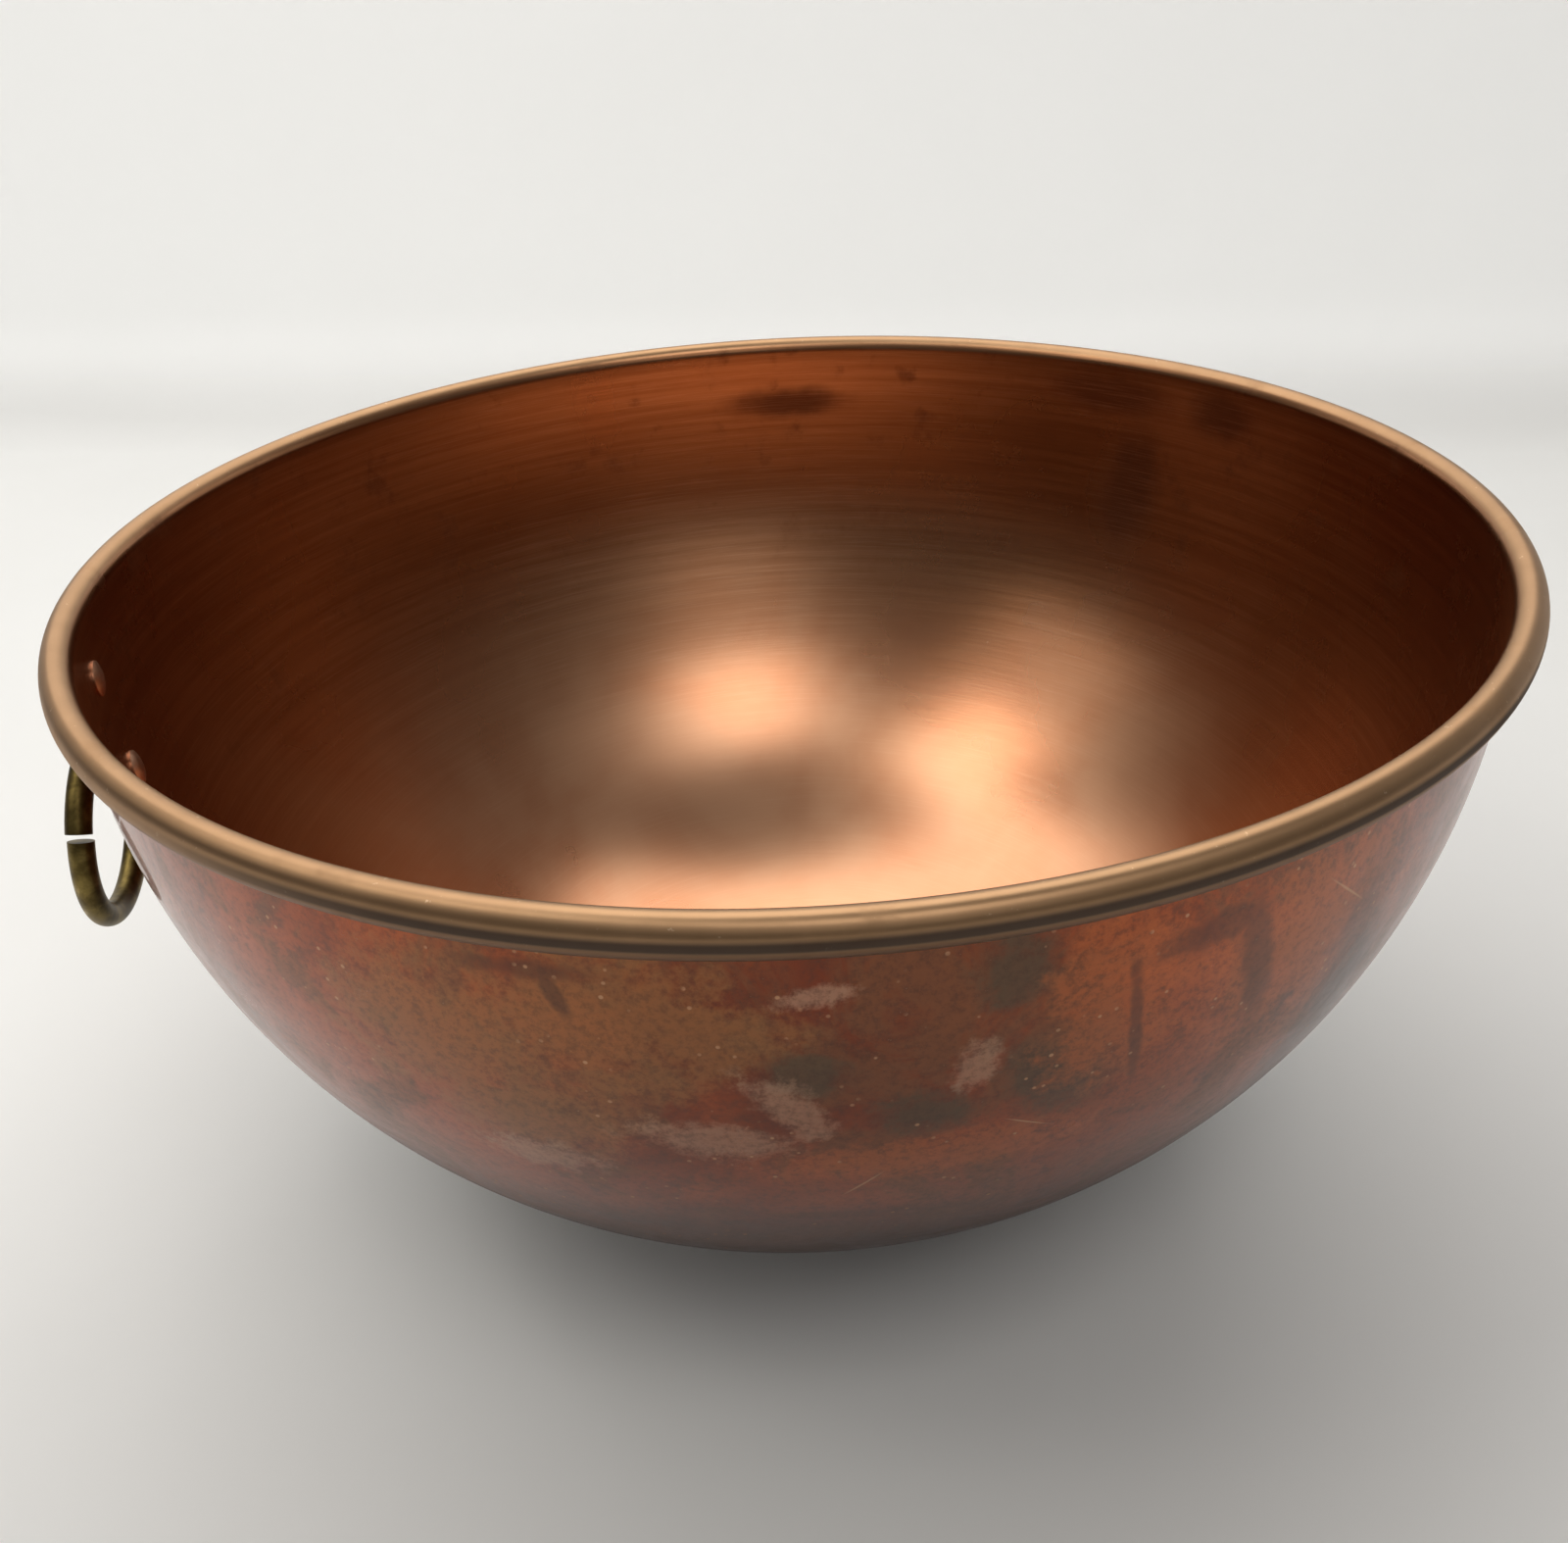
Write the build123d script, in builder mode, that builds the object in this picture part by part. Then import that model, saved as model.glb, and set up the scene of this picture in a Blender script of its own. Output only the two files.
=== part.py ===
"""Copper beating bowl with a rolled rim and a hanging ring, in millimetres.

The frame stands at the centre of the small flat on the bowl's underside: +Z is up along
the bowl's axis, and the ring hangs on the -X side.
"""
import os
from math import acos, asin, cos, degrees, radians, sin, sqrt, tan

from build123d import *

os.makedirs("parts", exist_ok=True)

# --- bowl ---------------------------------------------------------------------------------
rim_diameter = 260.0      # over the outside of the rolled rim
wall = 1.0                # thickness of the copper sheet
neck_height = 5.2         # straight band between the hemisphere and the middle of the roll
flat_diameter = 36.0      # small flat knocked into the bottom so that the bowl can stand
roll_width = 5.3          # rolled rim, measured across the rim
roll_height = 6.4         # rolled rim, measured up and down
roll_seam = 0.25          # slit between the end of the roll and the wall
rim_wire_clearance = 0.05  # room around the wire inside the roll

# --- ring ---------------------------------------------------------------------------------
ring_radius = 17.2        # centre of the wire to centre of the ring
ring_wire = 4.5           # wire diameter
ring_turn = 8.0           # the loose ring hangs turned this far about the vertical, degrees
ring_lean = 6.0           # at rest its bottom stands out from the wall by this much, degrees
ring_end_step = 0.9       # one wire end has sprung inwards by this much
ring_gap_angle = 22.0     # gap between the ends, above the ring's middle, degrees
ring_gap_inside = 0.5     # width of the gap at the inside of the ring
ring_gap_outside = 1.5    # width of the gap at the outside of the ring
swing_clearance = 0.5     # room between the ring and what it swings in

# --- bracket and rivets --------------------------------------------------------------------
hinge_drop = 20.8         # ring's pivot, below the middle of the rolled rim
room_above = 4.2          # flat of the strap between its bend and the upper rivet's head
room_below = 0.6          # the same above the lower rivet's head
strap_thickness = 1.0
strap_seat = 0.02         # strap's inner face to the wall, at the rivets
waist_width = 6.0         # strap where the ring passes behind it
lobe_radius = 5.0         # round ends of the strap, around the rivets
waist_corner = 2.0        # rounding where the waist meets the lobes
loop_bend = 1.2           # inside rounding of the strap's bends

rivet_shank = 3.4         # diameter
rivet_hole_clearance = 0.05
inner_head_diameter = 6.4
inner_head_edge = 0.35
inner_head_height = 1.1
outer_head_diameter = 5.0
outer_head_edge = 0.3
outer_head_height = 1.3

# --- worked out from the sizes above --------------------------------------------------------
roll_inside = rim_diameter / 2 - roll_width          # the wall's inner face runs on into the roll
bowl_radius = roll_inside + wall                     # outside of the hemisphere
roll_centre = roll_inside + roll_width / 2
flat_radius = flat_diameter / 2
middle_height = sqrt(bowl_radius**2 - flat_radius**2)  # centre of the hemisphere
rim_height = middle_height + neck_height             # middle of the rolled rim
inner_radius = bowl_radius - wall
inner_flat_radius = sqrt(inner_radius**2 - (middle_height - wall) ** 2)
rim_wire_radius = roll_width / 2 - wall - rim_wire_clearance
wire_radius = ring_wire / 2


def wall_point(drop, out=0.0, along=0.0):
    """Point (x, z) in the ring's upright plane: on the wall's outside, so far below the rim's
    middle, then out along the wall's normal and down along its tangent."""
    below = max(drop - neck_height, 0.0)
    tilt = asin(below / bowl_radius)
    height = rim_height - drop
    x = -(bowl_radius * cos(tilt) + out * cos(tilt) - along * sin(tilt))
    return (x, height - out * sin(tilt) - along * cos(tilt))


def wall_tilt(drop):
    """Angle between the wall's outward normal and the horizontal, in degrees."""
    return degrees(asin(max(drop - neck_height, 0.0) / bowl_radius))


# The ring's wire is curved and turned, so it needs more room than its own diameter at the
# two edges of the strap's waist.
wire_bow = ring_radius - sqrt(ring_radius**2 - (waist_width / 2) ** 2)
wire_turn_play = waist_width / 2 * tan(radians(ring_turn))
pivot_out = wire_radius + wire_bow / 2 + wire_turn_play + swing_clearance
loop_out = 2 * pivot_out                             # strap's inner face over the ring
loop_half = pivot_out                                # room above and below the pivot
rivet_reach = loop_half + strap_thickness + outer_head_diameter / 2
upper_rivet_drop = hinge_drop - rivet_reach - room_above  # below the middle of the rolled rim
lower_rivet_drop = hinge_drop + rivet_reach + room_below
hinge_x, hinge_z = wall_point(hinge_drop, pivot_out)

# --- bowl shell -------------------------------------------------------------------------------
with BuildPart() as bowl_shell:
    with BuildSketch(Plane.XZ) as wall_section:
        flat_angle = degrees(acos(flat_radius / bowl_radius))
        inner_flat_angle = degrees(acos(inner_flat_radius / inner_radius))
        with BuildLine():
            Polyline((inner_flat_radius, wall), (0, wall), (0, 0), (flat_radius, 0))
            CenterArc((0, middle_height), bowl_radius, -flat_angle, flat_angle)
            Polyline(
                (bowl_radius, middle_height),
                (bowl_radius, rim_height),
                (inner_radius, rim_height),
                (inner_radius, middle_height),
            )
            CenterArc((0, middle_height), inner_radius, 0, -inner_flat_angle)
        make_face()
        # The roll is an oval tube that starts as the wall and comes back to it at the seam.
        with Locations((roll_centre, rim_height)):
            Ellipse(roll_width / 2, roll_height / 2)
            Ellipse(roll_width / 2 - wall, roll_height / 2 - wall, mode=Mode.SUBTRACT)
        with Locations((bowl_radius, rim_height - roll_height / 2)):
            Rectangle(
                roll_seam, roll_height / 2, align=(Align.MIN, Align.MIN), mode=Mode.SUBTRACT
            )
    revolve(axis=Axis.Z)
    for drop in (upper_rivet_drop, lower_rivet_drop):
        x, z = wall_point(drop)
        tilt = radians(wall_tilt(drop))
        with BuildSketch(Plane(origin=(x, 0, z), z_dir=(-cos(tilt), 0, -sin(tilt)))):
            Circle(rivet_shank / 2 + rivet_hole_clearance)
        extrude(amount=2 * wall, both=True, mode=Mode.SUBTRACT)

# --- wire inside the rolled rim ---------------------------------------------------------------
with BuildPart() as rim_wire:
    with BuildSketch(Plane.XZ):
        with Locations((roll_centre, rim_height)):
            Circle(rim_wire_radius)
    revolve(axis=Axis.Z)

# --- strap that holds the ring ----------------------------------------------------------------
# Seen from the side, it lies on the wall at each rivet and stands out over the ring between.
with BuildPart() as ring_bracket:
    with BuildSketch(Plane.XZ):
        with BuildLine():
            FilletPolyline(
                wall_point(upper_rivet_drop, strap_seat, -lobe_radius),
                wall_point(upper_rivet_drop, strap_seat,
                           hinge_drop - loop_half - upper_rivet_drop),
                wall_point(hinge_drop, loop_out, -loop_half),
                wall_point(hinge_drop, loop_out, loop_half),
                wall_point(lower_rivet_drop, strap_seat,
                           hinge_drop + loop_half - lower_rivet_drop),
                wall_point(lower_rivet_drop, strap_seat, lobe_radius),
                radius=loop_bend,
            )
            offset(amount=strap_thickness, side=Side.RIGHT)
        make_face()
    extrude(amount=lobe_radius, both=True)
    # Seen from the front, it has two round lobes with a narrow waist between them.
    with BuildSketch(Plane.YZ.offset(hinge_x)):
        with Locations((0, rim_height - upper_rivet_drop), (0, rim_height - lower_rivet_drop)):
            Circle(lobe_radius)
        with Locations((0, rim_height - (upper_rivet_drop + lower_rivet_drop) / 2)):
            Rectangle(waist_width, lower_rivet_drop - upper_rivet_drop)
        waist_corners = vertices().filter_by(lambda v: abs(abs(v.X) - waist_width / 2) < 1e-6)
        fillet(waist_corners, radius=waist_corner)
    extrude(amount=2 * loop_out + strap_thickness, both=True, mode=Mode.INTERSECT)
    for drop in (upper_rivet_drop, lower_rivet_drop):
        x, z = wall_point(drop)
        tilt = radians(wall_tilt(drop))
        with BuildSketch(Plane(origin=(x, 0, z), z_dir=(-cos(tilt), 0, -sin(tilt)))):
            Circle(rivet_shank / 2 + rivet_hole_clearance)
        extrude(amount=strap_seat + 2 * strap_thickness, mode=Mode.SUBTRACT)


# --- rivets -----------------------------------------------------------------------------------
def dome_radius(edge_radius, height):
    """Radius of the ball that a low round dome is cut from."""
    return (edge_radius**2 + height**2) / (2 * height)


def make_rivet(drop):
    """One rivet: a wide low head inside the bowl, a shank, and a small head on the strap."""
    inner_head_radius = inner_head_diameter / 2
    outer_head_radius = outer_head_diameter / 2
    # The wall is hollow under the inner head, which therefore stands on its edge.
    seat = -wall - inner_head_radius**2 / (2 * inner_radius) - strap_seat
    top = strap_seat + strap_thickness
    x, z = wall_point(drop)
    tilt = radians(wall_tilt(drop))
    outwards = Vector(-cos(tilt), 0, -sin(tilt))
    across = Vector(0, 1, 0)
    with BuildPart() as rivet:
        with BuildSketch(Plane(origin=(x, 0, z), x_dir=across, z_dir=across.cross(outwards))):
            with BuildLine():
                Polyline(
                    (0, seat - inner_head_height),
                    (0, top + outer_head_height),
                )
                RadiusArc(
                    (0, top + outer_head_height),
                    (outer_head_radius, top + outer_head_edge),
                    dome_radius(outer_head_radius, outer_head_height - outer_head_edge),
                )
                Polyline(
                    (outer_head_radius, top + outer_head_edge),
                    (outer_head_radius, top),
                    (rivet_shank / 2, top),
                    (rivet_shank / 2, seat),
                    (inner_head_radius, seat),
                    (inner_head_radius, seat - inner_head_edge),
                )
                RadiusArc(
                    (inner_head_radius, seat - inner_head_edge),
                    (0, seat - inner_head_height),
                    dome_radius(inner_head_radius, inner_head_height - inner_head_edge),
                )
            make_face()
        revolve(axis=Axis(origin=(x, 0, z), direction=outwards))
    return rivet


rivet_upper = make_rivet(upper_rivet_drop)
rivet_lower = make_rivet(lower_rivet_drop)

# --- hanging ring -----------------------------------------------------------------------------
# The wire runs from the gap over the top and round to the bottom, and then on a slightly
# smaller arc, so that its second end stands inside the first.
hinge_line = Vector(sin(radians(ring_turn)), cos(radians(ring_turn)), 0)
ring_down = Vector(0, 0, -1).rotate(Axis((0, 0, 0), hinge_line), ring_lean)
ring_centre = Vector(hinge_x, 0, hinge_z) + ring_down * (ring_radius - wire_bow / 2)
ring_plane = Plane(origin=ring_centre, x_dir=hinge_line, z_dir=ring_down.cross(hinge_line))
small_radius = ring_radius - ring_end_step / (1 + sin(radians(ring_gap_angle)))
end_margin = degrees(ring_gap_inside / 2 / ring_radius)
gap_at = 180 - ring_gap_angle
with BuildPart() as hanging_ring:
    with BuildLine(ring_plane) as ring_line:
        CenterArc((0, 0), ring_radius, gap_at - end_margin, -(gap_at - end_margin + 90))
        CenterArc((0, small_radius - ring_radius), small_radius, -90,
                  end_margin - 90 - ring_gap_angle)
    with BuildSketch(Plane(ring_line.line @ 0, z_dir=ring_line.line % 0)):
        Circle(wire_radius)
    sweep()
    # The gap is cut as a wedge, wider at the outside of the ring.
    reach = wire_radius + ring_end_step
    gap_middle = (ring_gap_inside + ring_gap_outside) / 2
    gap_spread = (ring_gap_outside - ring_gap_inside) / ring_wire * reach
    with BuildSketch(ring_plane):
        with Locations(Location((0, 0, 0), (0, 0, gap_at))):
            Polygon(
                (ring_radius - reach, (gap_spread - gap_middle) / 2),
                (ring_radius + reach, (-gap_spread - gap_middle) / 2),
                (ring_radius + reach, (gap_spread + gap_middle) / 2),
                (ring_radius - reach, (gap_middle - gap_spread) / 2),
                align=None,
            )
    extrude(amount=ring_wire, both=True, mode=Mode.SUBTRACT)

for name, piece in (
    ("bowl_shell", bowl_shell),
    ("rim_wire", rim_wire),
    ("ring_bracket", ring_bracket),
    ("rivet_upper", rivet_upper),
    ("rivet_lower", rivet_lower),
    ("hanging_ring", hanging_ring),
):
    piece.part.label = name
    export_step(piece.part, f"parts/{name}.step")
print(f"rim height {rim_height:.2f}, hinge at x {hinge_x:.3f} z {hinge_z:.3f}")
print(f"ring's centre at {ring_centre.X:.3f} {ring_centre.Y:.3f} {ring_centre.Z:.3f}")
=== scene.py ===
# %% [markdown]
# # A copper beating bowl
# The bowl is spun from one copper sheet, its rim is rolled round a steel wire, and a split
# brass ring hangs from a riveted strap. The measured solids are already packed. This lesson
# loads them and makes the bowl look like old, used copper.

from math import acos, asin, cos, degrees, pi, radians, sin, sqrt

import bmesh
import bpy
from mathutils import Matrix, Vector


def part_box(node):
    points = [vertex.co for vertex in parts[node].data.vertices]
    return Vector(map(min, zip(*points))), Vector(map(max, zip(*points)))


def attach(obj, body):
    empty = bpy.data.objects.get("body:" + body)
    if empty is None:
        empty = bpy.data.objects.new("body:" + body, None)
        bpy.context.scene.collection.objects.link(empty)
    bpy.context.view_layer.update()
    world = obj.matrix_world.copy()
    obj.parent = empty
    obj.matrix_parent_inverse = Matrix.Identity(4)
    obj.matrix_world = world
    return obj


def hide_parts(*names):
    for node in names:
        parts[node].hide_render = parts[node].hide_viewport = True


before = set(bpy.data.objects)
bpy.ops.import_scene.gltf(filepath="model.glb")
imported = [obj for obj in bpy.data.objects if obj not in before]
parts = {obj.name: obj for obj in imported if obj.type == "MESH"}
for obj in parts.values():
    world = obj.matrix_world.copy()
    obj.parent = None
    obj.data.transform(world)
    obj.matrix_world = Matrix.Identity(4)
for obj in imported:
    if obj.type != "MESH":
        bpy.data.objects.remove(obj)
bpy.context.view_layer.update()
shell_low, shell_high = (Vector(corner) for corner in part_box("bowl_shell"))
print("measured parts:", ", ".join(sorted(parts)))
print("bowl from", tuple(shell_low), "to", tuple(shell_high))

# %% [markdown]
# ## Sizes to work from
# The sheet is 1 mm thick. Its rim is an oval tube, and everything below the rim is a ball
# with a small flat knocked into it. The ball's radius and its centre follow from the box
# round the measured bowl, so the new surface lies exactly on the old one.

# %% Sizes
MM = 0.001
SHEET = 1.0 * MM
ROLL_WIDTH = 5.3 * MM
ROLL_HEIGHT = 6.4 * MM
FLAT_RADIUS = 18.0 * MM
SEAM = 0.25 * MM

rim_radius = shell_high.x
rim_height = shell_high.z - ROLL_HEIGHT / 2
inside_radius = rim_radius - ROLL_WIDTH
outside_radius = inside_radius + SHEET
roll_radius = rim_radius - ROLL_WIDTH / 2
ball_height = sqrt(outside_radius**2 - FLAT_RADIUS**2)
print(f"ball of {outside_radius / MM:.1f} mm about z {ball_height / MM:.1f} mm")

# %% [markdown]
# ## The camera
# It looks down into the bowl from in front and a little to the left, close enough for the
# near side to loom. A camera's own axes are right, up and backwards, so its matrix is built
# from the direction it looks in, and then it is rolled a little, as a hand-held one is. Both
# places are given in millimetres from the middle of the rim.

# %% Camera
CAMERA_PLACE = Vector((-63.74, -259.50, 102.84))
LOOKS_AT = Vector((-4.77, 1.17, -51.53))
CAMERA_ROLL = -3.33
LENS = 34.65
SHIFT = (0.0089, -0.0024)

rim_middle = Vector((0, 0, rim_height))
eye = rim_middle + CAMERA_PLACE * MM
aim = rim_middle + LOOKS_AT * MM
forward = (aim - eye).normalized()
level = forward.cross(Vector((0, 0, 1))).normalized()
upright = level.cross(forward)
roll = radians(CAMERA_ROLL)
right = level * cos(roll) + upright * sin(roll)
up = upright * cos(roll) - level * sin(roll)

lens = bpy.data.cameras.new("camera")
lens.sensor_fit = "HORIZONTAL"
lens.sensor_width = 36.0
lens.lens = LENS
lens.shift_x, lens.shift_y = SHIFT
lens.clip_start = 0.01
camera = bpy.data.objects.new("camera", lens)
turn = Matrix((right, up, -forward)).transposed().to_4x4()
camera.matrix_world = Matrix.Translation(eye) @ turn
bpy.context.scene.collection.objects.link(camera)
bpy.context.scene.camera = camera
print(f"camera {CAMERA_PLACE.length:.0f} mm from the rim's middle")

# %% [markdown]
# ## A helper for pieces
# Every new piece starts as a bmesh. This turns it into a smooth-shaded object at the origin.
# Its faces are made to point outwards first, because spinning can turn them inside out.

# %% From bmesh to object
def make_object(name, form):
    bmesh.ops.remove_doubles(form, verts=form.verts, dist=1e-7)
    bmesh.ops.recalc_face_normals(form, faces=form.faces)
    mesh = bpy.data.meshes.new(name)
    form.to_mesh(mesh)
    form.free()
    mesh.shade_smooth()
    made = bpy.data.objects.new(name, mesh)
    bpy.context.scene.collection.objects.link(made)
    print(f"{name}: {len(mesh.polygons)} faces")
    return made


# %% [markdown]
# ## The bowl
# A spinner presses a flat disc over a turning block, so the bowl is the same all the way
# round. Spinning does that here too: half of the section is drawn as a line, and the line is
# spun round the bowl's axis. The line is the face of the sheet that is touched when a hand
# wipes out of the bowl and over the rim. Solidify then gives it the sheet's thickness.

# %% Section line
BALL_STEPS = 72


def arc_from(form, start, middle, angle, steps):
    """Spins one vertex round a middle in the upright plane, and returns the last vertex."""
    made = bmesh.ops.spin(
        form, geom=[start], cent=middle, axis=(0, 1, 0), dvec=(0, 0, 0), angle=angle,
        steps=steps, use_duplicate=False,
    )
    return [g for g in made["geom_last"] if isinstance(g, bmesh.types.BMVert)][0]


def line_to(form, start, place):
    made = bmesh.ops.extrude_vert_indiv(form, verts=[start])
    end = made["verts"][0]
    end.co = place
    return end


section = bmesh.new()
ball_middle = Vector((0, 0, ball_height))
inner_flat = sqrt(inside_radius**2 - (ball_height - SHEET) ** 2)
point = bmesh.ops.create_vert(section, co=(0, 0, SHEET))["vert"][0]
point = line_to(section, point, (inner_flat * 0.5, 0, SHEET))
point = line_to(section, point, (inner_flat, 0, SHEET))
flat_angle = asin(inner_flat / inside_radius)
point = arc_from(section, point, ball_middle, -(pi / 2 - flat_angle), BALL_STEPS)
print("section reaches", tuple(round(c / MM, 2) for c in point.co), "mm")
point = line_to(section, point, (inside_radius, 0, (ball_height + rim_height) / 2))
point = line_to(section, point, (inside_radius, 0, rim_height))

# %% [markdown]
# The rolled rim is an oval, which is a circle pulled upwards. So it is spun as a circle on a
# section of its own, scaled to the oval, and stops just short of the wall.

# %% Rolled rim
ROLL_STEPS = 40

roll_end = acos((outside_radius + SEAM - roll_radius) / (ROLL_WIDTH / 2))
oval = bmesh.new()
top = bmesh.ops.create_vert(oval, co=(inside_radius, 0, rim_height))["vert"][0]
arc_from(oval, top, (roll_radius, 0, rim_height), pi + roll_end, ROLL_STEPS)
bmesh.ops.scale(
    oval, verts=oval.verts, vec=(1, 1, ROLL_HEIGHT / ROLL_WIDTH),
    space=Matrix.Translation((0, 0, -rim_height)),
)
oval_mesh = bpy.data.meshes.new("oval")
oval.to_mesh(oval_mesh)
oval.free()
section.from_mesh(oval_mesh)
bpy.data.meshes.remove(oval_mesh)
bmesh.ops.remove_doubles(section, verts=section.verts, dist=1e-7)
print("rolled rim ends", round(degrees(pi + roll_end)), "degrees round")

# %% Spin the bowl
STEPS_ROUND = 240

bmesh.ops.spin(
    section, geom=section.verts[:] + section.edges[:], cent=(0, 0, 0), axis=(0, 0, 1),
    dvec=(0, 0, 0), angle=2 * pi, steps=STEPS_ROUND, use_merge=True, use_duplicate=False,
)
bowl = make_object("bowl_sheet", section)

# %% [markdown]
# The skin that Solidify adds gets the next material, so the inside and the rolled rim can
# have one finish and the outside another.

# %% Thickness of the sheet
thickness = bowl.modifiers.new("sheet", "SOLIDIFY")
thickness.thickness = SHEET
thickness.offset = -1.0
thickness.use_even_offset = True
thickness.material_offset = 1
thickness.material_offset_rim = 1
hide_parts("bowl_shell")
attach(bowl, "bowl")

# %% [markdown]
# ## Shader maths as sums
# A material is a graph of nodes, but most of it is arithmetic. This class wraps a socket so
# that ordinary Python sums add the Math nodes. Finish holds one material and has one method
# that adds any other node.

# %% Socket sums
class Value:
    def __init__(self, finish, socket):
        self.finish = finish
        self.socket = socket

    def __add__(self, other):
        return self.finish.math("ADD", self, other)

    def __sub__(self, other):
        return self.finish.math("SUBTRACT", self, other)

    def __rsub__(self, other):
        return self.finish.math("SUBTRACT", other, self)

    def __mul__(self, other):
        return self.finish.math("MULTIPLY", self, other)

    __radd__ = __add__
    __rmul__ = __mul__


class Finish:
    def __init__(self, name):
        self.material = bpy.data.materials.new(name)
        self.material.use_nodes = True
        self.tree = self.material.node_tree
        self.tree.nodes.clear()
        self.shader = self.tree.nodes.new("ShaderNodeBsdfPrincipled")
        output = self.tree.nodes.new("ShaderNodeOutputMaterial")
        self.tree.links.new(self.shader.outputs[0], output.inputs[0])
        place = Value(self, self.tree.nodes.new("ShaderNodeTexCoord").outputs["Object"])
        self.mm = self.vector("SCALE", place, scale=1000.0)

    def node(self, kind, settings, sockets, output=0):
        """Adds a node, with its settings first and then its sockets' values or links."""
        made = self.tree.nodes.new("ShaderNode" + kind)
        for name, value in settings.items():
            setattr(made, name, value)
        for name, value in sockets.items():
            if isinstance(value, Value):
                self.tree.links.new(value.socket, made.inputs[name])
            else:
                made.inputs[name].default_value = value
        return Value(self, made.outputs[output])

    def math(self, operation, a, b):
        return self.node("Math", {"operation": operation}, {0: a, 1: b})

    def vector(self, operation, a, b=(0, 0, 0), scale=1.0):
        output = 1 if operation in ("DOT_PRODUCT", "LENGTH", "DISTANCE") else 0
        return self.node("VectorMath", {"operation": operation}, {0: a, 1: b, 3: scale}, output)

    def smooth(self, value, low, high):
        """Rises softly from 0 at low to 1 at high."""
        settings = {"interpolation_type": "SMOOTHSTEP"}
        return self.node("MapRange", settings, {0: value, 1: low, 2: high, 3: 0.0, 4: 1.0})

    def mix(self, amount, a, b):
        """Goes from colour a to colour b."""
        colours = [c if isinstance(c, Value) else (*c, 1.0) for c in (a, b)]
        settings = {"data_type": "RGBA", "clamp_factor": True}
        return self.node("Mix", settings, {0: amount, 6: colours[0], 7: colours[1]}, 2)

    def noise(self, place, scale, detail=3.0, roughness=0.5, distortion=0.0):
        sockets = {"Vector": place, "Scale": scale, "Detail": detail,
                   "Roughness": roughness, "Distortion": distortion}
        return self.node("TexNoise", {}, sockets)

    def bump(self, height, strength, distance):
        sockets = {"Height": height, "Strength": strength, "Distance": distance}
        return self.node("Bump", {}, sockets)

    def set(self, **sockets):
        for name, value in sockets.items():
            socket = self.shader.inputs[name.replace("_", " ")]
            if isinstance(value, Value):
                self.tree.links.new(value.socket, socket)
            else:
                socket.default_value = value


print("sums on sockets are ready")

# %% [markdown]
# ## Places on the ball
# Stains and rubbed patches are kept as places on the bowl: degrees round it, millimetres
# below the middle of the rim, and how wide and high they are. A Mapping node moves, turns
# and scales the pattern's space so that the patch becomes a unit ball, and a wobble added to
# the distance frays its edge.

# %% Patches
PATCH_DEPTH = 60.0


def patch(finish, wobble, azimuth, drop, width, height, turn=0.0, soft=0.3):
    slope = asin((drop * MM - (rim_height - ball_height)) / outside_radius)
    around = radians(azimuth)
    out = Vector((cos(slope) * cos(around), cos(slope) * sin(around), -sin(slope)))
    along = Vector((-sin(around), cos(around), 0))
    basis = Matrix((along, out.cross(along), out)).transposed()
    basis = basis @ Matrix.Rotation(radians(turn), 3, "Z")
    sockets = {
        "Vector": finish.mm,
        "Location": (ball_middle + out * outside_radius) / MM,
        "Rotation": basis.to_euler(),
        "Scale": (width / 2, height / 2, PATCH_DEPTH),
    }
    placed = finish.node("Mapping", {"vector_type": "TEXTURE"}, sockets)
    return finish.smooth(finish.vector("LENGTH", placed) + wobble, 1 + soft, 1 - soft)


# %% [markdown]
# ## Copper inside and on the rim
# The inside was turned with fine cloth, so its scratches run round the bowl and its
# highlights stretch up the wall. The distance along the wall, with a little of the sideways
# position, gives noise that is drawn out into such lines.

# %% Lines and clouds inside
inside = Finish("copper_brushed")
x, y, z = (
    inside.vector("DOT_PRODUCT", inside.mm, axis) for axis in ((1, 0, 0), (0, 1, 0), (0, 0, 1))
)
across = inside.vector("LENGTH", inside.vector("MULTIPLY", inside.mm, (1, 1, 0)))
slope = inside.math("ARCTAN2", across, ball_height / MM - z) * (inside_radius / MM)
lines = inside.node("CombineXYZ", {}, {0: x * 0.02, 1: y * 0.02, 2: slope * 1.0})
fine_lines = inside.noise(lines, 3.0, 4.0, 0.7)
wide_lines = inside.noise(lines, 0.5, 3.0, 0.6)
clouds = inside.noise(inside.mm, 0.02, 4.0, 0.55, 0.4)
grime = inside.noise(inside.mm, 0.09, 5.0, 0.6)
wobble = (grime - 0.5) * 1.2
print("brushed lines run round the inside")

# %% [markdown]
# Oxide is browner near the rim, and a few dark stains sit just under it at the back. The
# brushed lines show through as paler copper.

# %% Colours inside
BARE_COPPER = ((0.56, 0.25, 0.13), (0.62, 0.33, 0.19))
BROWN_OXIDE = ((0.28, 0.12, 0.05), (0.38, 0.18, 0.085))
STAIN = (0.13, 0.05, 0.025)
BRUSHED = (0.66, 0.38, 0.24)
INNER_STAINS = ((75, 13, 26, 7, 0), (36, 6, 30, 9, 0), (21, 6, 16, 10, 0), (32, 28, 14, 26, 8))

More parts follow.
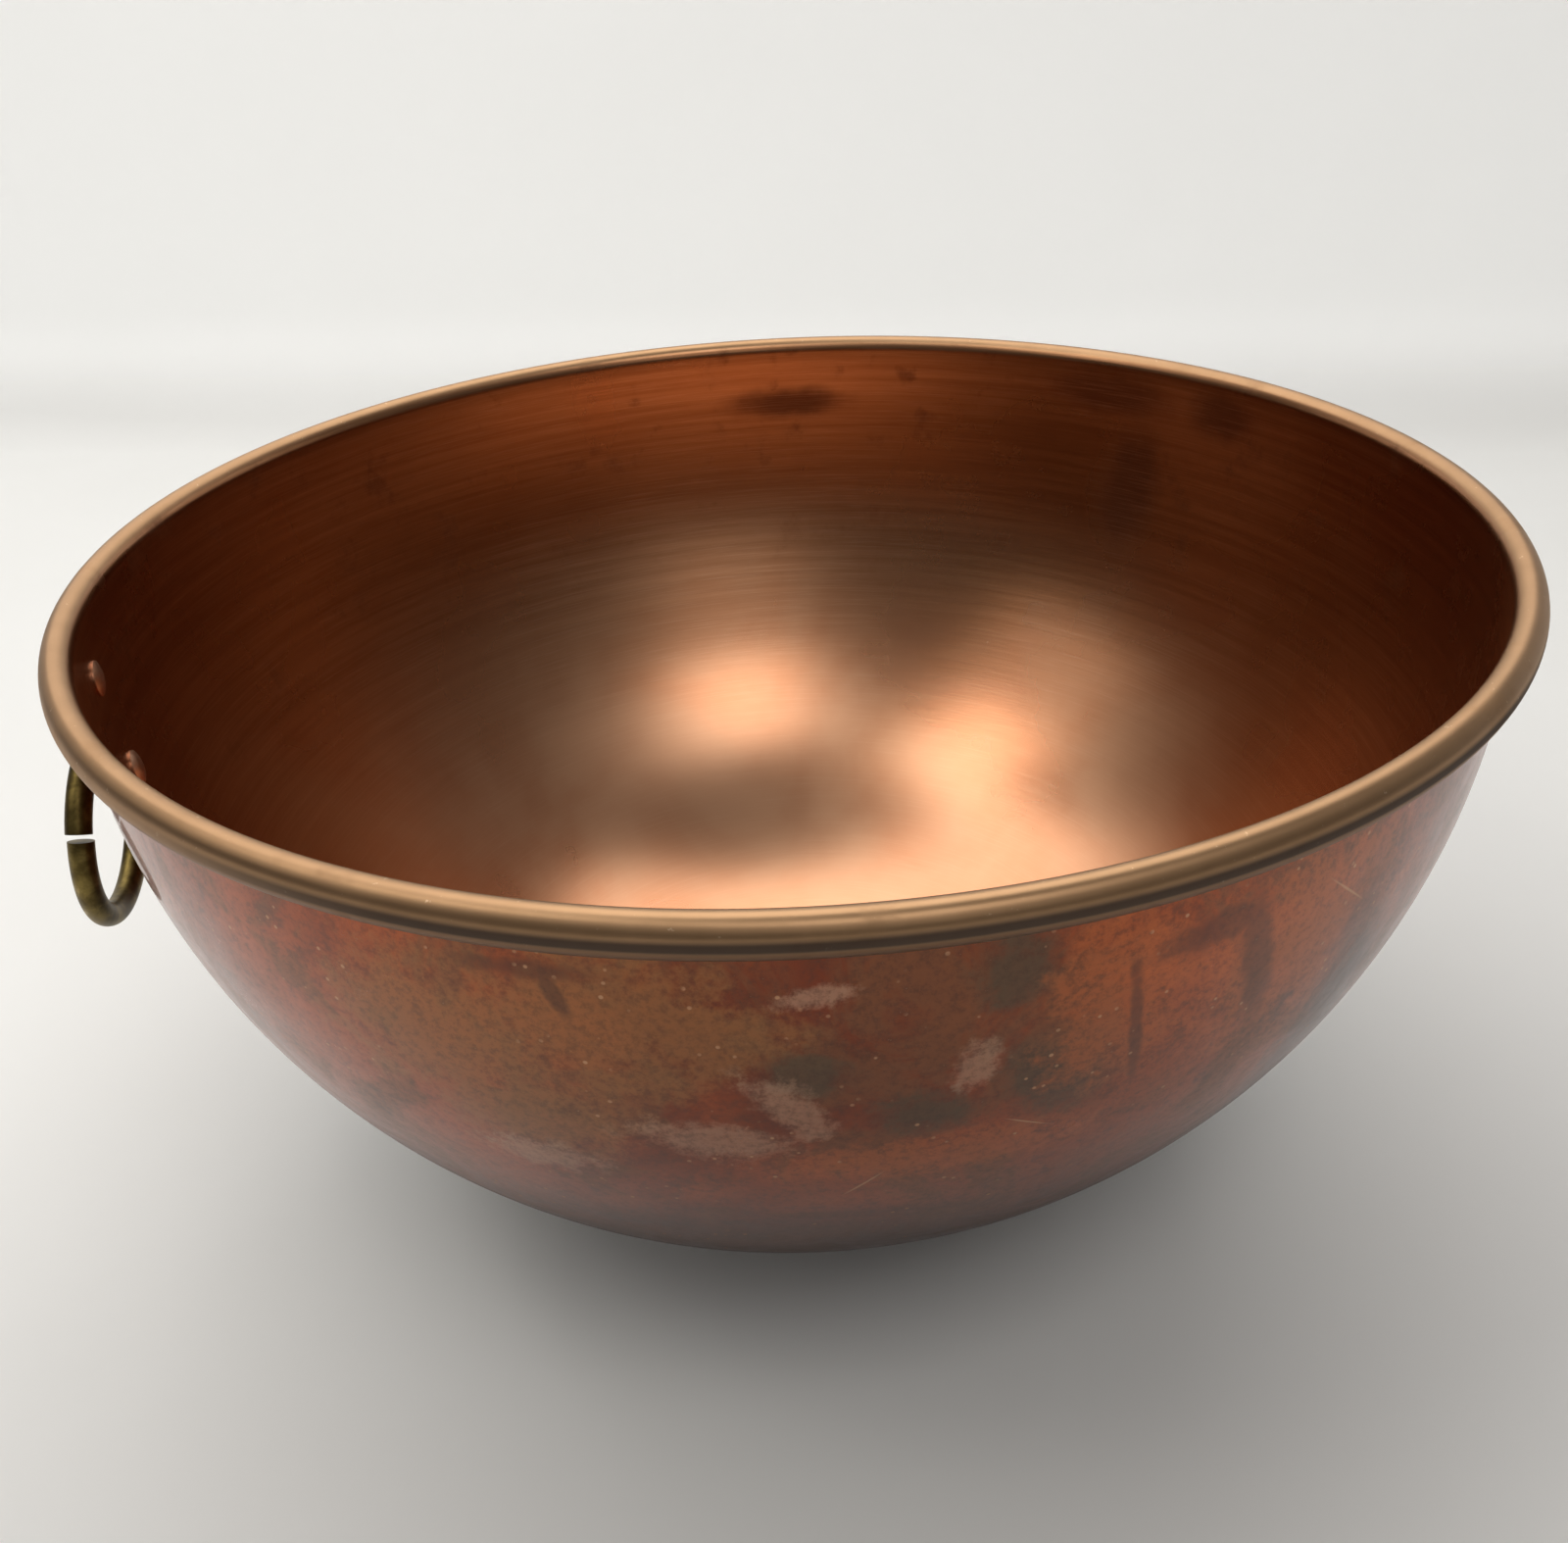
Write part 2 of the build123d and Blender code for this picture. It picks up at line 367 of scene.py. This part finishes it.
bare = inside.mix(inside.smooth(clouds, 0.35, 0.7), *BARE_COPPER)
oxide = inside.mix(inside.smooth(wide_lines, 0.3, 0.7), *BROWN_OXIDE)
aged = inside.mix(inside.smooth(slope, 90.0, 175.0) * 0.85, bare, oxide)
stains = inside.smooth(grime, 0.56, 0.72) * inside.smooth(slope, 130.0, 185.0) * 0.55
for place in INNER_STAINS:
    stains = inside.math("MAXIMUM", stains, patch(inside, wobble, *place, soft=0.6) * 0.8)
dirty = inside.mix(stains, aged, STAIN)
streaked = inside.mix(inside.smooth(fine_lines, 0.45, 0.75) * 0.28, dirty, BRUSHED)
print(len(INNER_STAINS), "stains inside")

# %% [markdown]
# The rolled rim has been wiped and handled, and is paler and more yellow, with bright nicks;
# its tan is partly that wear and partly a painted sheen. In front its outer face carries a
# black band between the wiped top and the lip, a painted reflection of the dark room in front,
# and the lip below it is painted a darker brown as painted shade. Height above the middle of
# the rim marks the band off.

# %% Colours of the rim
# The rim's tan is partly wiped wear and partly a painted sheen.
WIPED_TAN_AND_SHEEN = ((0.37, 0.22, 0.115), (0.47, 0.285, 0.155))
NICK = (0.78, 0.58, 0.40)
# Brown for the roll's underside: painted shade.
SHADE_BROWN_LIP = (0.13, 0.06, 0.03)
# Near-black of the band on the rim's front: a painted reflection of the dark room in front.
REFLECTION_BLACK = (0.020, 0.007, 0.002)

rim_mm = rim_height / MM
wall_mm = inside_radius / MM
roll_mm = roll_radius / MM
on_rim = inside.smooth(across, wall_mm + 0.15, wall_mm + 1.0)
nicks = inside.smooth(inside.noise(inside.mm, 0.5, 3.0, 0.8), 0.66, 0.74)
rim_tan_and_sheen = inside.mix(inside.noise(inside.mm, 0.15, 4.0), *WIPED_TAN_AND_SHEEN)
rim_worn_and_sheen = inside.mix(nicks * 0.6, rim_tan_and_sheen, NICK)
outer_face = inside.smooth(across, roll_mm + 0.7, roll_mm + 1.7)
below_top = inside.smooth(z, rim_mm + 1.3, rim_mm + 0.2)
above_lip = inside.smooth(z, rim_mm - 1.3, rim_mm - 0.6)
in_front = inside.smooth(y, -60.0, -110.0) * 0.8 + 0.1
# The black band is a painted reflection, strongest in front, where the dark room is.
painted_dark_band = outer_face * below_top * above_lip * in_front
# The underside of the roll is painted darker brown as shade.
rim_with_shaded_lip = inside.mix(outer_face * (1 - above_lip) * 0.7, rim_worn_and_sheen, SHADE_BROWN_LIP)
rim_with_painted_band = inside.mix(painted_dark_band, rim_with_shaded_lip, REFLECTION_BLACK)
print("rim is tan, with a black band and a brown lip")

# %% [markdown]
# The rim is rougher than the inside, and stains are rougher again. The black band, a painted
# reflection, is made no metal, so it takes the metal away. Anisotropic, with the turned lines as
# bump, stretches the highlights.

# %% Finish inside and on the rim
inside.set(
    Base_Color=inside.mix(on_rim, streaked, rim_with_painted_band),
    Metallic=1 - on_rim * painted_dark_band * 0.9,
    Roughness=0.28 + on_rim * 0.16 + painted_dark_band * 0.3 + stains * 0.2 + (clouds - 0.5) * 0.12,
    Anisotropic=0.6,
    Normal=inside.bump(fine_lines + wide_lines * 0.6, 0.25, 0.00003),
)
print("inside copper has", len(inside.tree.nodes), "nodes")

# %% [markdown]
# ## Tarnished copper outside
# Old copper carries thin oxide films: rust orange where it was heated, gold where the film
# is thinnest, olive and brown where it is thick, and pale pink where it was rubbed bare.
# Each colour is mixed in by its own cloud of noise and by the patches that this bowl has.
# A bright orange patch is a painted highlight, and the foot is painted darker as shade.

# %% Outside copper
RUST = ((0.16, 0.026, 0.004), (0.34, 0.068, 0.012))
MOTTLED = (0.17, 0.068, 0.024)
SMOKE = (0.07, 0.022, 0.008)
# Near-black for the foot: painted shade.
SHADED_FOOT = (0.03, 0.010, 0.004)

outside = Finish("copper_tarnished")
clouds = outside.noise(outside.mm, 0.018, 5.0, 0.6, 0.6)
blotches = outside.noise(outside.mm, 0.055, 6.0, 0.65, 0.8)
frays = outside.noise(outside.mm, 0.16, 6.0, 0.7)
grit = outside.noise(outside.mm, 0.8, 5.0, 0.75)
wobble = (frays - 0.5) * 3.0 + (grit - 0.5) * 0.9
height = outside.vector("DOT_PRODUCT", outside.mm, (0, 0, 1))

rust = outside.mix(outside.smooth(clouds, 0.36, 0.62), *RUST)
mottled = outside.mix(outside.smooth(blotches, 0.48, 0.62) * 0.6, rust, MOTTLED)
smoky = outside.mix(outside.smooth(frays, 0.52, 0.70) * 0.5, mottled, SMOKE)
# Painted shade: the colour darkens towards the foot, which mirrors the bowl's shadow.
low = outside.smooth(height + (blotches - 0.5) * 30.0, 84.0, 44.0)
colour = outside.mix(low * 0.92, smoky, SHADED_FOOT)
print("outside is rust, darker towards the foot")

# %% [markdown]
# Each film has its colour, how strong it is, and its places: degrees round the bowl,
# millimetres below the rim, width, height and turn. Where two places of one film overlap,
# the stronger one counts. The orange one is no film but a painted highlight on the right front.

# %% Films of oxide, and a painted highlight
FILMS = (
    ("gold", (0.26, 0.108, 0.032), 0.65,
     ((-116, 16, 30, 24, 10), (-126, 22, 34, 24, 0), (-109, 18, 22, 12, 0),
      (-121, 36, 26, 16, 10))),
    ("olive", (0.075, 0.048, 0.024), 0.8,
     ((-88, 30, 17, 19, 0), (-92, 10, 10, 11, 0), (-97, 34, 14, 9, 0), (-104, 24, 12, 8, 0))),
    # The orange places are a painted highlight where the right front catches light, not an oxide
    # film.
    ("orange", (0.42, 0.10, 0.02), 0.6,
     ((-71, 22, 40, 28, 0), (-85, 20, 18, 30, 0), (-95, 44, 40, 9, 0))),
    ("soot", (0.03, 0.012, 0.008), 0.55,
     ((-79, 12, 15, 5, 5), (-75.5, 21, 5, 24, 12), (-84, 24, 2, 24, 8), (-119, 8, 15, 3, 0),
      (-118, 11, 2, 8, 20), (-64, 34, 12, 34, 10))),
    ("rubbed pink", (0.42, 0.235, 0.15), 0.55,
     ((-105, 31, 6, 15, 35), (-110, 38, 20, 7, -10), (-94, 26, 5, 8, -15),
      (-103.5, 11, 9, 3, 8), (-122, 46, 14, 7, 0))),
)
for name, film, strength, places in FILMS:
    amount = patch(outside, wobble, *places[0], soft=0.45)
    for place in places[1:]:
        amount = outside.math("MAXIMUM", amount, patch(outside, wobble, *place, soft=0.45))
    colour = outside.mix(amount * strength, colour, film)
    print(f"{name}: {len(places)} places")

# %% [markdown]
# On top of the films come small marks: a grainy darkening, pin-point specks of bare copper,
# and three fine scratches.

# %% Small marks outside
GRAINY = (0.045, 0.018, 0.009)
BARED = (0.50, 0.27, 0.14)
SCRATCHES = ((-100.5, 50, 0.4, 7, -40), (-90, 40, 0.3, 7, 60), (-68, 16, 0.35, 10, 50))

grainy = outside.mix(outside.smooth(grit, 0.42, 0.68) * 0.45, colour, GRAINY)
dots = outside.node("TexVoronoi", {}, {"Vector": outside.mm, "Scale": 0.42, "Randomness": 1.0})
dense = outside.noise(outside.mm, 0.11, 3.0, 0.6)
pinned = outside.smooth(dots, 0.17, 0.09) * outside.smooth(dense, 0.5, 0.62)
scuffed = outside.smooth(grit, 0.66, 0.72) * outside.smooth(blotches, 0.45, 0.6)
bared = outside.math("MAXIMUM", pinned, scuffed * 0.6)
for scratch in SCRATCHES:
    bared = outside.math(
        "MAXIMUM", bared, patch(outside, (frays - 0.5) * 0.8, *scratch, soft=0.5)
    )
marked = outside.mix(bared * 0.75, grainy, BARED)
print(len(SCRATCHES), "scratches outside")

# %% [markdown]
# A film of oxide is smooth and clear enough to mirror the room where it is seen at a flat
# angle, which turns the bowl's edges white and shows the ring's mirror image beside it. A
# coat does that. It fades out towards the dull foot, whose colour is painted darker as shade.

# %% Finish outside
outside.set(
    Base_Color=marked,
    Metallic=1.0,
    Coat_Weight=0.5 - low * 0.5,
    Coat_Roughness=0.05,
    Roughness=(
        0.24 + outside.smooth(blotches, 0.35, 0.7) * 0.12 + bared * 0.15 + grit * 0.08
        + low * 0.12
    ),
    Normal=outside.bump(frays + grit * 0.25, 0.12, 0.0001),
)
bowl.data.materials.append(inside.material)
bowl.data.materials.append(outside.material)
print("outside copper has", len(outside.tree.nodes), "nodes")

# %% [markdown]
# ## Strap, rivets, ring and wire
# These measured solids have the right shape already, so they only get their finish. The
# strap and rivets are dull copper. The ring is brass that was darkened and rubbed: it is
# olive brown, with paler brass where fingers polish it.

# %% Small copper pieces
def dull_copper(name, dark, light, roughness):
    finish = Finish(name)
    blotches = finish.noise(finish.mm, 0.35, 5.0, 0.6)
    grain = finish.noise(finish.mm, 3.0, 3.0, 0.6)
    finish.set(
        Base_Color=finish.mix(finish.smooth(blotches, 0.35, 0.65), dark, light),
        Metallic=1.0,
        Roughness=roughness + (grain - 0.5) * 0.2,
        Normal=finish.bump(grain, 0.15, 0.00005),
    )
    return finish.material


def cover(name, material):
    parts[name].data.materials.clear()
    parts[name].data.materials.append(material)


strap_copper = dull_copper("copper_strap", (0.17, 0.055, 0.02), (0.36, 0.15, 0.07), 0.36)
rivet_copper = dull_copper("copper_rivet", (0.44, 0.23, 0.14), (0.62, 0.36, 0.24), 0.36)
cover("ring_bracket", strap_copper)
cover("rivet_upper", rivet_copper)
cover("rivet_lower", rivet_copper)
print("strap and rivets are dull copper")

# %% Aged brass and steel
brass = Finish("brass_aged")
blotches = brass.noise(brass.mm, 0.22, 5.0, 0.6, 0.3)
grain = brass.noise(brass.mm, 2.5, 4.0, 0.65)
dark = brass.mix(brass.smooth(blotches, 0.35, 0.65), (0.075, 0.052, 0.016), (0.20, 0.145, 0.045))
rubbed = brass.smooth(blotches + (grain - 0.5) * 0.4, 0.6, 0.75)
brass.set(
    Base_Color=brass.mix(rubbed * 0.5, dark, (0.38, 0.28, 0.11)),
    Metallic=1.0,
    Roughness=0.42 - rubbed * 0.1,
    Normal=brass.bump(grain, 0.2, 0.00006),
)
cover("hanging_ring", brass.material)

steel = Finish("steel_drawn")
grain = steel.noise(steel.mm, 2.0, 3.0)
steel.set(
    Base_Color=steel.mix(grain, (0.42, 0.42, 0.43), (0.6, 0.6, 0.61)),
    Metallic=1.0,
    Roughness=0.3 + grain * 0.15,
)
cover("rim_wire", steel.material)
print("ring is aged brass, rim wire is drawn steel")

# %% [markdown]
# ## The white sheet
# The bowl stands on a white paper sheet that bends up behind it. The bend is a line of
# vertices spun a quarter turn, so floor and wall are one soft surface. It starts far enough
# back for a camera to look at the bowl from behind.

# %% Floor and backdrop
FLOOR_HALF = 1.7
BEND_START = 0.43
BEND = 0.06
WALL_TOP = 0.5
SHEET_TURN = -23

sheet = bmesh.new()
row = [
    bmesh.ops.create_vert(sheet, co=(side, BEND_START, 0))["vert"][0]
    for side in (-FLOOR_HALF, FLOOR_HALF)
]
edge = sheet.edges.new(row)
front = bmesh.ops.extrude_edge_only(sheet, edges=[edge])["geom"]
for vert in (g for g in front if isinstance(g, bmesh.types.BMVert)):
    vert.co.y = -FLOOR_HALF
bent = bmesh.ops.spin(
    sheet, geom=row + [edge], cent=(0, BEND_START, BEND), axis=(1, 0, 0), dvec=(0, 0, 0),
    angle=pi / 2, steps=24, use_duplicate=False,
)["geom_last"]
wall = bmesh.ops.extrude_edge_only(
    sheet, edges=[g for g in bent if isinstance(g, bmesh.types.BMEdge)]
)["geom"]
for vert in (g for g in wall if isinstance(g, bmesh.types.BMVert)):
    vert.co.z = WALL_TOP
bmesh.ops.rotate(
    sheet, verts=sheet.verts, cent=(0, 0, 0),
    matrix=Matrix.Rotation(radians(SHEET_TURN), 3, "Z"),
)
backdrop = make_object("white_sheet", sheet)

# %% [markdown]
# Paper is a plain rough white with faint folds. The wall and the far floor glow a little, so
# that they stay pale where the lights don't reach.

# %% White paper
paper = Finish("white_paper")
folds = paper.noise(paper.mm, 0.006, 3.0, 0.5, 1.0)
up_the_wall = paper.smooth(paper.vector("DOT_PRODUCT", paper.mm, (0, 0, 1)), 0.0, 45.0)
far_off = paper.smooth(paper.vector("LENGTH", paper.mm), 450.0, 1300.0)
glowing = paper.math("MAXIMUM", up_the_wall, far_off)
paper.set(
    Emission_Color=paper.mix(glowing, (0.0, 0.0, 0.0), (1.0, 1.0, 0.99)),
    Emission_Strength=0.24,
    Base_Color=paper.mix(folds, (0.84, 0.84, 0.825), (0.88, 0.88, 0.87)),
    Roughness=0.85,
    Normal=paper.bump(folds, 0.15, 0.01),
)
backdrop.data.materials.append(paper.material)
print("white paper is under and behind the bowl")

# %% [markdown]
# ## Light
# Two soft windows stand high in front and on the left, each with a dimmer glow below it, and
# each shows as one blurred patch in the bowl. A wide pale ceiling behind lights the floor and
# throws the bowl's shadow forwards. Angles are in degrees, 0 in front and 90 on the right.

# %% Windows
def window(name, azimuth, elevation, distance, width, height, power, colour):
    light = bpy.data.lights.new(name, "AREA")
    light.shape = "RECTANGLE"
    light.size = width
    light.size_y = height
    light.energy = power
    light.color = colour
    lamp = bpy.data.objects.new(name, light)
    a, e = radians(azimuth), radians(elevation)
    back = Vector((sin(a) * cos(e), -cos(a) * cos(e), sin(e)))
    lamp.matrix_world = Matrix.Translation(back * distance) @ back.to_track_quat(
        "Z", "Y").to_matrix().to_4x4()
    bpy.context.scene.collection.objects.link(lamp)
    print(f"{name}: {power} W from {azimuth}, {elevation} degrees")


window("window_front", 3, 57, 1.1, 0.45, 0.35, 1.7, (1.0, 0.97, 0.94))
window("glow_front", 0, 35, 1.2, 0.60, 0.55, 0.7, (1.0, 0.96, 0.92))
window("window_left", -85, 57, 1.1, 0.36, 0.36, 1.5, (1.0, 0.98, 0.92))
window("glow_left", -88, 38, 1.2, 0.60, 0.45, 0.8, (1.0, 0.97, 0.92))
window("ceiling", 178, 63, 1.05, 1.5, 0.9, 9.8, (1.0, 0.98, 0.95))

# %% [markdown]
# The room that lights the bowl is a dim grey, a little paler overhead, so that the copper has
# something dark to reflect too. The height of the direction that a ray leaves in drives it.
# Seen directly, past the edge of the paper, the room is a plain pale grey.

# %% Room
ROOM_SHADE = (("From Min", -0.1), ("From Max", 0.6), ("To Min", 0.07), ("To Max", 0.15))
ROOM_SEEN = 0.7

world = bpy.data.worlds.new("room")
bpy.context.scene.world = world
world.use_nodes = True
room = world.node_tree
direction = room.nodes.new("ShaderNodeTexCoord")
split = room.nodes.new("ShaderNodeSeparateXYZ")
shade = room.nodes.new("ShaderNodeMapRange")
room.links.new(direction.outputs["Generated"], split.inputs[0])
room.links.new(split.outputs["Z"], shade.inputs["Value"])
for name, value in ROOM_SHADE:
    shade.inputs[name].default_value = value
seen = room.nodes.new("ShaderNodeLightPath")
either = room.nodes.new("ShaderNodeMix")
room.links.new(seen.outputs["Is Camera Ray"], either.inputs["Factor"])
room.links.new(shade.outputs["Result"], either.inputs["A"])
either.inputs["B"].default_value = ROOM_SEEN
room.links.new(either.outputs["Result"], room.nodes["Background"].inputs["Strength"])
room.nodes["Background"].inputs["Color"].default_value = (1.0, 0.99, 0.97, 1.0)
bpy.context.scene.view_settings.view_transform = "Standard"
print("room is dim grey, and pale where it is seen directly")
